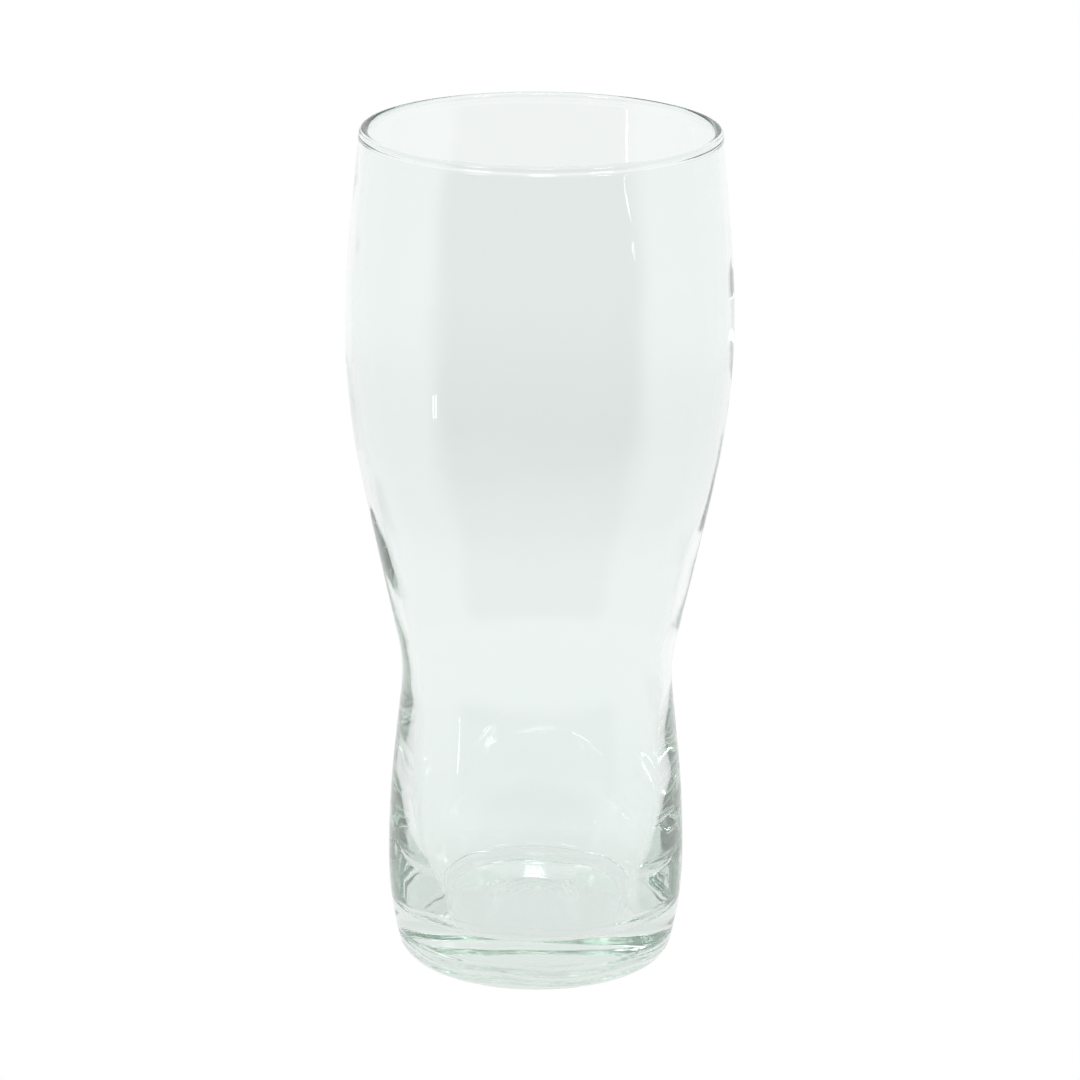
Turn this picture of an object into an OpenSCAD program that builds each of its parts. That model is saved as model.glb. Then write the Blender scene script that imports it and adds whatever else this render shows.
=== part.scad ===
// Stemless tulip pint glass, blown in one piece from one gob of glass.
// Z is up. The origin is the centre of the footprint, on the table.
// The section is a chain of circular arcs, each joined to the next by the line
// that touches both, so the wall has no crease anywhere.

/* [Outside] */
// Overall height
height = 178; // [175:1:188]
// Width across the belly, the widest circle
belly_d = 80.3; // [78:0.1:83]
// Height of the belly's widest circle
belly_z = 137.2; // [133:0.1:141]
// Radius of the side's curve above the belly
shoulder_curve = 208; // [190:1:240]
// Radius of the side's curve below the belly
flank_curve = 161; // [140:1:173]
// Width across the waist, the narrowest circle
waist_d = 56.7; // [54:0.1:59]
// Height of the waist
waist_z = 61.8; // [58:0.1:65]
// Radius of the waist's hollow curve
waist_curve = 36.9; // [30:0.1:42]
// Width across the foot, the lower bulge
foot_d = 62.3; // [60:0.1:65]
// Height of the foot's widest circle
foot_z = 21.6; // [18:0.1:26]
// Radius of the foot's curve above its widest circle
foot_upper_curve = 223; // [180:1:260]
// Radius of the foot's curve below its widest circle
foot_lower_curve = 72; // [60:1:90]

/* [Lip] */
// Width across the outside of the lip
lip_d = 74.5; // [73:0.1:76]
// Thickness of the rounded lip
lip_t = 1.9; // [1.6:0.1:3]
// Radius of the hollow curve under the lip, on the inside
lip_neck_r = 1.6; // [1:0.1:4]

/* [Wall] */
// Wall thickness at the belly
belly_wall = 1.2; // [1:0.1:1.6]
// Wall thickness at the waist
waist_wall = 2.2; // [1.8:0.1:3]
// Width across the inside at the foot, at its widest
inner_foot_d = 53.8; // [53:0.1:55]
// Height of that widest circle
inner_foot_z = 39; // [36:0.5:44]
// Radius of the inside's curve there, which draws in towards the floor
inner_foot_curve = 80; // [60:1:130]

/* [Base] */
// Height of the flat inside floor
floor_z = 10.8; // [9:0.1:13]
// Radius of the curve where the floor meets the wall
corner_r = 1.8; // [1:0.1:4]
// Width across the ring that rests on the table
ring_d = 49.4; // [47:0.1:51]
// Radius between that ring and the side
heel_r = 3.9; // [3:0.1:5]
// Width of the hollow under the base
punt_d = 42.6; // [40:0.1:44]
// Depth of the hollow under the base
punt_h = 3.5; // [1:0.1:5]

/* [Hidden] */

// Facets around the glass
AROUND = 180;
// Largest turn between two points of an arc, in degrees
ARC_STEP = 3;
// Longest piece of an arc
ARC_LENGTH = 1.25;
GLASS_GREEN = [0.87, 0.93, 0.9, 0.4];

lip_r = lip_t / 2;
lip_centre_r = lip_d / 2 - lip_r;
inner_foot_centre_r = inner_foot_d / 2 - inner_foot_curve;
// The corner lies on the floor and inside the foot's curve, and touches both.
corner_centre_z = floor_z + corner_r;
corner_centre_r = inner_foot_centre_r
    + sqrt(pow(inner_foot_curve - corner_r, 2) - pow(inner_foot_z - corner_centre_z, 2));
punt_curve = (pow(punt_d / 2, 2) + pow(punt_h, 2)) / (2 * punt_h);

// A round is [centre radius, centre height, curve radius]. The curve radius is
// positive where the side bulges outwards, and negative where it is hollow.
outside = [
    [ring_d / 2, heel_r, heel_r],
    [foot_d / 2 - foot_lower_curve, foot_z, foot_lower_curve],
    [foot_d / 2 - foot_upper_curve, foot_z, foot_upper_curve],
    [waist_d / 2 + waist_curve, waist_z, -waist_curve],
    [belly_d / 2 - flank_curve, belly_z, flank_curve],
    [belly_d / 2 - shoulder_curve, belly_z, shoulder_curve],
    [lip_centre_r, height - lip_r, lip_r]
];
inside = [
    [corner_centre_r, corner_centre_z, corner_r],
    [inner_foot_centre_r, inner_foot_z, inner_foot_curve],
    [waist_d / 2 + waist_curve, waist_z, -waist_curve - waist_wall],
    [belly_d / 2 - flank_curve, belly_z, flank_curve - belly_wall],
    [belly_d / 2 - shoulder_curve, belly_z, shoulder_curve - belly_wall],
    [lip_d / 2 - belly_wall - lip_neck_r, height - lip_t - lip_neck_r / 2, lip_neck_r],
    [lip_centre_r, height - lip_r, -lip_r]
];

// Direction square to the line that touches rounds a and b, a below b
function touch_angle(a, b) =
    let (run = b[0] - a[0], rise = b[1] - a[1])
    let (across = (a[2] - b[2]) / norm([run, rise]))
    atan2(rise, run) - acos(max(-1, min(1, across)));

// Points along a round from angle start to angle end
function arc_points(round, start, end) =
    let (turn = end - start)
    let (length = abs(round[2] * turn * PI / 180))
    let (pieces = max(ceil(abs(turn) / ARC_STEP), ceil(length / ARC_LENGTH)))
    [for (i = [0:pieces])
        let (a = start + turn * i / pieces)
        [round[0] + round[2] * cos(a), round[1] + round[2] * sin(a)]];

// Points along a chain of rounds, upwards, from angle first to angle last
function chain_points(rounds, first, last) =
    [for (i = [0:len(rounds) - 1])
        let (start = i == 0 ? first : touch_angle(rounds[i - 1], rounds[i]))
        let (end = i == len(rounds) - 1 ? last : touch_angle(rounds[i], rounds[i + 1]))
        each arc_points(rounds[i], start, end)];

function reversed(points) = [for (i = [len(points) - 1:-1:0]) points[i]];

// Consecutive points closer than this are taken as one
SAME = 0.001;
function without_repeats(points) =
    [for (i = [0:len(points) - 1])
        if (i == 0 || norm(points[i] - points[i - 1]) > SAME) points[i]];

// Half of the glass's section, from the middle of the base round to the floor
function half_section() = without_repeats(concat(
    arc_points([0, punt_h - punt_curve, punt_curve], 90, 90 - asin(punt_d / 2 / punt_curve)),
    chain_points(outside, -90, 90),
    reversed(chain_points(inside, -90, -90)),
    [[0, floor_z]]));

module glass() {
    color(GLASS_GREEN)
    rotate_extrude($fn = AROUND)
    polygon(half_section());
}

glass();
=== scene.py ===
import math

import bpy
from mathutils import Euler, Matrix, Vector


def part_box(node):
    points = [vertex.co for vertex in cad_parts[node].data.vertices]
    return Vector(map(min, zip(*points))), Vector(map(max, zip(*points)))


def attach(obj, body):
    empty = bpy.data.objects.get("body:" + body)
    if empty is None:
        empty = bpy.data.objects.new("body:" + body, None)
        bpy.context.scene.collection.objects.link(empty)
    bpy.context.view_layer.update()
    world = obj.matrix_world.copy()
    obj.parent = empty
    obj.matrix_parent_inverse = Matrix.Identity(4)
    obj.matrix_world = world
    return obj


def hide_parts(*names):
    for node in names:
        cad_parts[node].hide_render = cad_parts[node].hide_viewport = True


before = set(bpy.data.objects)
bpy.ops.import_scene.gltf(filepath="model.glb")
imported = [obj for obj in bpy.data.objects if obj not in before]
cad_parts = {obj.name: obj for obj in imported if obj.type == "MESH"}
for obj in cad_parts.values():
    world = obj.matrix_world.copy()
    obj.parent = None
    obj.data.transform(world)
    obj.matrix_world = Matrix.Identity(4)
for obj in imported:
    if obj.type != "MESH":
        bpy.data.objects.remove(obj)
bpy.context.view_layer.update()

FOOT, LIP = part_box("glass")
HEIGHT = LIP.z - FOOT.z

# The glass's mesh
AROUND = 270                    # facets around
CREASE = math.radians(6)        # facets that meet at a sharper angle keep an edge
SAME_PLACE = 1e-6               # metres; vertices this close are one

# The glass's material
GLASS_TINT = (0.923, 0.954, 0.943, 1)     # at each surface
GLASS_GREEN = (0.388, 0.54, 0.45, 1)      # soda-lime glass, green where it is thick
GREEN_DENSITY = 6.5             # to a metre
GLASS_IOR = 1.52

# Its bumps: soft waves all over, and marks that wander with them. Lengths are in metres.
WAVE_SCALE = 45.0               # waves to a metre
WAVE_DETAIL = 1.0
WAVE_HEIGHT = 0.0005
MARK_WANDER = 10.0              # radians
RING_EVERY = 0.0018             # turning marks in the hollow under the base
RING_HEIGHT = 0.000006
RING_EDGE = 0.013               # from the middle
RING_TOP = 0.0045               # just above the hollow
HEEL_EVERY = 0.003              # marks around the heel, fading out upwards
HEEL_HEIGHT = 0.0003
HEEL_EDGE = 0.024               # outside the ring that the glass stands on
HEEL_TOP = 0.007

# The studio: a white tent with a darker open front, behind the camera, on a disc of white paper
FLOOR_RADIUS = 4.0
FLOOR_GAP = 0.0002              # below the foot
ROOM_WHITE = 1.0
FRONT_DARK = 0.34
FRONT_SIDES = (-0.3, -0.55)     # a direction's y: where the front starts, and where it is darkest
FRONT_TOP = (0.6, 0.3)          # a direction's z, likewise
# The paper in front of the glass is painted darker, as painted shade:
FLOOR_FRONT_SHADE = (0.14, 0.3)       # distance from the glass, likewise

# The paper's painted shade, by distance from the glass's middle: no shade, then full
SHADE_INSIDE = (0.2, 0.32)      # a ring, its inner edge
SHADE_OUTSIDE = (0.6, 0.4)      # its outer edge
SHADE_DEPTH = 0.06
SHADOW_UNDER_GLASS = (0.06, 0.012)     # a pool under the foot
SHADOW_UNDER_DEPTH = 0.14

# A thin lamp lies on the paper at the left, pointing at the glass
TUBE_SIDE = 64                  # degrees left of front
TUBE_NEAR = 0.345
TUBE_FAR = 0.415
TUBE_HALF_WIDTH = 0.003
TUBE_GLOW = 7.0

# Round lamps high in front: degrees right of front, degrees up, glow
HIGH_LAMPS = ((-48, 45, 7.0), (48, 45, 7.0), (0, 62, 4.0))
LAMP_EDGES = (9, 5)             # degrees from a lamp's middle: no glow, then full

# The camera
CAMERA_RIGHT = 0.0004           # metres
CAMERA_AWAY = 6.0               # heights of the glass
CAMERA_UP = 2.2904              # heights of the glass
CAMERA_PITCH = 16.546           # degrees down
CAMERA_ROLL = 0.46              # degrees
CAMERA_LENS = 178.1             # millimetres
SENSOR_WIDTH = 36               # millimetres
CAMERA_CLIP = (0.05, 50)        # metres

# Light runs a long way inside the wall
BOUNCES = 512


# ---------- the glass ----------

def seam_of(node):
    """The half section of a turned CAD node, as (radius, height) from the middle of its underside to
    the middle of its floor. Its mesh has a seam of edges in the half plane y = 0, x >= 0."""
    mesh = node.data
    place = {}
    merged = []
    for vertex in mesh.vertices:
        key = tuple(round(c / SAME_PLACE) for c in vertex.co)
        merged.append(place.setdefault(key, len(place)))
    points = [None] * len(place)
    for vertex, index in zip(mesh.vertices, merged):
        points[index] = vertex.co.copy()
    on_seam = {i for i, p in enumerate(points) if abs(p.y) < SAME_PLACE and p.x > -SAME_PLACE}
    beside = {i: set() for i in on_seam}
    for edge in mesh.edges:
        a, b = (merged[i] for i in edge.vertices)
        if a != b and a in on_seam and b in on_seam:
            beside[a].add(b)
            beside[b].add(a)
    ends = sorted((i for i in on_seam if len(beside[i]) == 1), key=lambda i: points[i].z)
    walk = [ends[0]]
    last = None
    while walk[-1] != ends[1]:
        here = walk[-1]
        walk.append(next(i for i in beside[here] if i != last))
        last = here
    return [(max(points[i].x, 0.0), points[i].z) for i in walk]


def circle(radius, z):
    """Points around the axis, one for each facet."""
    points = []
    for k in range(AROUND):
        a = 2 * math.pi * k / AROUND
        points.append((radius * math.cos(a), radius * math.sin(a), z))
    return points


def placed(name, mesh):
    made = bpy.data.objects.new(name, mesh)
    bpy.context.scene.collection.objects.link(made)
    return made


def turned(name, section):
    """A closed mesh made by turning a section that starts and ends on the axis."""
    rings = section[1:-1]
    points = [(0, 0, section[0][1])]
    for radius, z in rings:
        points.extend(circle(radius, z))
    points.append((0, 0, section[-1][1]))
    top = len(points) - 1
    last = top - AROUND
    faces = []
    for k in range(AROUND):
        n = (k + 1) % AROUND
        faces.append((0, 1 + n, 1 + k))
        for low in range(1, last, AROUND):
            faces.append((low + k, low + n, low + AROUND + n, low + AROUND + k))
        faces.append((last + k, last + n, top))
    mesh = bpy.data.meshes.new(name)
    mesh.from_pydata(points, [], faces)
    mesh.shade_smooth()
    mesh.set_sharp_from_angle(angle=CREASE)
    return placed(name, mesh)


# ---------- nodes ----------

class Graph:
    """The nodes of one material or of the world, and the sums made with them."""

    def __init__(self, owner):
        owner.use_nodes = True
        self.nodes = owner.node_tree.nodes
        self.links = owner.node_tree.links
        self.nodes.clear()

    def put(self, value, socket):
        """Give a socket a value of its own, or link another node's output to it."""
        if isinstance(value, bpy.types.NodeSocket):
            self.links.new(value, socket)
        else:
            socket.default_value = value

    def node(self, kind, inputs=None):
        made = self.nodes.new(kind)
        for name, value in (inputs or {}).items():
            self.put(value, made.inputs[name])
        return made

    def calc(self, operation, *values):
        made = self.nodes.new("ShaderNodeMath")
        made.operation = operation
        for socket, value in zip(made.inputs, values):
            self.put(value, socket)
        return made.outputs[0]

    def times(self, product, *others):
        for other in others:
            product = self.calc("MULTIPLY", product, other)
        return product

    def plus(self, total, *others):
        for other in others:
            total = self.calc("ADD", total, other)
        return total

    def rise(self, value, none, full):
        """0 where the value is at `none` or beyond, 1 at `full` or beyond, and soft in between."""
        step = self.node("ShaderNodeMapRange", {"Value": value, "From Min": none, "From Max": full})
        step.interpolation_type = "SMOOTHSTEP"
        return step.outputs[0]

    def blend(self, first, second, share):
        """The first value where the share is 0, and the second where it is 1."""
        return self.node("ShaderNodeMix", {"A": first, "B": second, "Factor": share}).outputs[0]

    def split(self, vector):
        return tuple(self.node("ShaderNodeSeparateXYZ", {"Vector": vector}).outputs)

    def vector_calc(self, operation, *vectors):
        made = self.nodes.new("ShaderNodeVectorMath")
        made.operation = operation
        for socket, vector in zip(made.inputs, vectors):
            self.put(vector, socket)
        return made.outputs


# ---------- the glass's material ----------

def marks(graph, along, every, wander):
    """A wave from -1 to 1 with a crest at every so many metres."""
    return graph.calc("SINE", graph.plus(graph.times(along, 2 * math.pi / every), wander))


def surface_height(graph):
    """The height of all the bumps, in metres."""
    place = graph.node("ShaderNodeTexCoord").outputs["Object"]
    noise = graph.node("ShaderNodeTexNoise", {
        "Vector": place,
        "Scale": WAVE_SCALE,
        "Detail": WAVE_DETAIL,
    }).outputs[0]
    x, y, z = graph.split(place)
    radius = graph.calc("SQRT", graph.plus(graph.times(x, x), graph.times(y, y)))
    wander = graph.times(noise, MARK_WANDER)
    waves = graph.times(noise, WAVE_HEIGHT)
    rings = graph.times(
        marks(graph, radius, RING_EVERY, wander),
        graph.calc("LESS_THAN", z, RING_TOP),
        graph.calc("LESS_THAN", radius, RING_EDGE),
        RING_HEIGHT,
    )
    fade = graph.calc("SUBTRACT", 1.0, graph.calc("DIVIDE", z, HEEL_TOP))
    heel = graph.times(
        marks(graph, z, HEEL_EVERY, wander),
        graph.calc("GREATER_THAN", radius, HEEL_EDGE),
        graph.calc("MAXIMUM", fade, 0.0),
        HEEL_HEIGHT,
    )
    return graph.plus(waves, rings, heel)


def glass_material():
    material = bpy.data.materials.new("clear_glass")
    graph = Graph(material)
    bumps = graph.node("ShaderNodeBump", {"Distance": 1.0, "Height": surface_height(graph)})
    surface = graph.node("ShaderNodeBsdfPrincipled", {
        "Base Color": GLASS_TINT,
        "Transmission Weight": 1.0,
        "IOR": GLASS_IOR,
        "Roughness": 0.0,
        "Normal": bumps.outputs["Normal"],
    })
    inside = graph.node("ShaderNodeVolumeAbsorption", {
        "Color": GLASS_GREEN,
        "Density": GREEN_DENSITY,
    })
    graph.node("ShaderNodeOutputMaterial", {
        "Surface": surface.outputs["BSDF"],
        "Volume": inside.outputs["Volume"],
    })
    return material


# ---------- the studio ----------

def with_front(graph, direction_y, share):
    """White, and darker where a direction points to the front, as far as the share lets it."""
    squarely = graph.rise(direction_y, *FRONT_SIDES)
    return graph.blend(ROOM_WHITE, FRONT_DARK, graph.times(squarely, share))


def in_mirror(graph, strength):
    """The dark front and the lamps show as reflections only, never behind the glass or through it."""
    mirrors = graph.node("ShaderNodeLightPath").outputs["Glossy Depth"]
    return graph.blend(ROOM_WHITE, strength, graph.calc("MINIMUM", mirrors, 1.0))


def in_glass(graph, strength):
    """The paper's painted shade and its thin lamp show in the glass only, and its white runs on into
    the background.
    """
    direct = graph.node("ShaderNodeLightPath").outputs["Is Camera Ray"]
    return graph.blend(strength, ROOM_WHITE, direct)


def thin_lamp(graph, x, y):
    """The glow of the thin lamp at a place on the paper: none beside it."""
    side = math.radians(TUBE_SIDE)
    along = graph.plus(graph.times(x, -math.sin(side)), graph.times(y, -math.cos(side)))
    across = graph.plus(graph.times(x, math.cos(side)), graph.times(y, -math.sin(side)))
    return graph.times(
        graph.calc("LESS_THAN", graph.calc("ABSOLUTE", across), TUBE_HALF_WIDTH),
        graph.calc("GREATER_THAN", along, TUBE_NEAR),
        graph.calc("LESS_THAN", along, TUBE_FAR),
        TUBE_GLOW,
    )


def paper_shade(graph, distance):
    """The painted shade on the paper, as the share of light it lacks: a soft ring of shade around the
    glass, and a pool of painted shadow under it.
    """
    ring = graph.times(
        graph.rise(distance, *SHADE_INSIDE),
        graph.rise(distance, *SHADE_OUTSIDE),
        SHADE_DEPTH,
    )
    return graph.plus(ring, graph.times(graph.rise(distance, *SHADOW_UNDER_GLASS), SHADOW_UNDER_DEPTH))


def paper_material():
    material = bpy.data.materials.new("floor_white")
    graph = Graph(material)
    place = graph.node("ShaderNodeNewGeometry").outputs["Position"]
    x, y = graph.split(place)[:2]
    distance = graph.vector_calc("LENGTH", place)["Value"]
    direction = graph.vector_calc("NORMALIZE", place)["Vector"]
    direction_y = graph.split(direction)[1]
    # Painted shade: the paper is painted darker in front of the glass, and this shows in reflections
    # only
    front = with_front(graph, direction_y, graph.rise(distance, *FLOOR_FRONT_SHADE))
    lit = in_mirror(graph, graph.plus(front, thin_lamp(graph, x, y)))
    # Painted shade: the paper's glow is dimmed in a ring around the glass and in a pool of shadow
    # under its foot
    left = graph.calc("SUBTRACT", 1.0, paper_shade(graph, distance))
    glow = graph.node("ShaderNodeEmission", {"Strength": in_glass(graph, graph.times(lit, left))})
    graph.node("ShaderNodeOutputMaterial", {"Surface": glow.outputs["Emission"]})
    return material


def white_floor():
    mesh = bpy.data.meshes.new("floor")
    mesh.from_pydata(circle(FLOOR_RADIUS, FOOT.z - FLOOR_GAP), [], [tuple(range(AROUND))])
    mesh.materials.append(paper_material())
    floor = placed("floor", mesh)


def high_lamps(graph, direction):
    """The glow of the round lamps in a direction: none beside them."""
    glow = 0.0
    none, full = (math.cos(math.radians(edge)) for edge in LAMP_EDGES)
    for right, up, strength in HIGH_LAMPS:
        right = math.radians(right)
        up = math.radians(up)
        level = math.cos(up)
        middle = (math.sin(right) * level, -math.cos(right) * level, math.sin(up))
        nearness = graph.vector_calc("DOT_PRODUCT", direction, middle)["Value"]
        glow = graph.plus(graph.times(graph.rise(nearness, none, full), strength), glow)
    return glow


def room():
    """The tent, all around."""
    world = bpy.data.worlds.new("studio")
    bpy.context.scene.world = world
    graph = Graph(world)
    direction = graph.node("ShaderNodeTexCoord").outputs["Generated"]
    y, z = graph.split(direction)[1:]
    front = with_front(graph, y, graph.rise(z, *FRONT_TOP))
    lit = in_mirror(graph, graph.plus(front, high_lamps(graph, direction)))
    back = graph.node("ShaderNodeBackground", {"Color": (1, 1, 1, 1), "Strength": lit})
    graph.node("ShaderNodeOutputWorld", {"Surface": back.outputs["Background"]})


# ---------- the picture ----------

def camera():
    data = bpy.data.cameras.new("camera")
    data.sensor_width = SENSOR_WIDTH
    data.lens = CAMERA_LENS
    data.clip_start, data.clip_end = CAMERA_CLIP
    made = placed("camera", data)
    made.location = (CAMERA_RIGHT, -CAMERA_AWAY * HEIGHT, CAMERA_UP * HEIGHT)
    tilt = Euler((math.radians(90 - CAMERA_PITCH), 0, 0)).to_matrix()
    roll = Euler((0, 0, math.radians(CAMERA_ROLL))).to_matrix()
    made.rotation_euler = (tilt @ roll).to_euler()
    bpy.context.scene.camera = made


def look():
    scene = bpy.context.scene
    scene.view_settings.view_transform = "Standard"
    scene.view_settings.look = "None"
    scene.cycles.max_bounces = BOUNCES
    scene.cycles.transmission_bounces = BOUNCES
    scene.cycles.glossy_bounces = BOUNCES


body = turned("pint_glass", seam_of(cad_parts["glass"]))
body.data.materials.append(glass_material())
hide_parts("glass")
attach(body, "root")
white_floor()
room()
camera()
look()
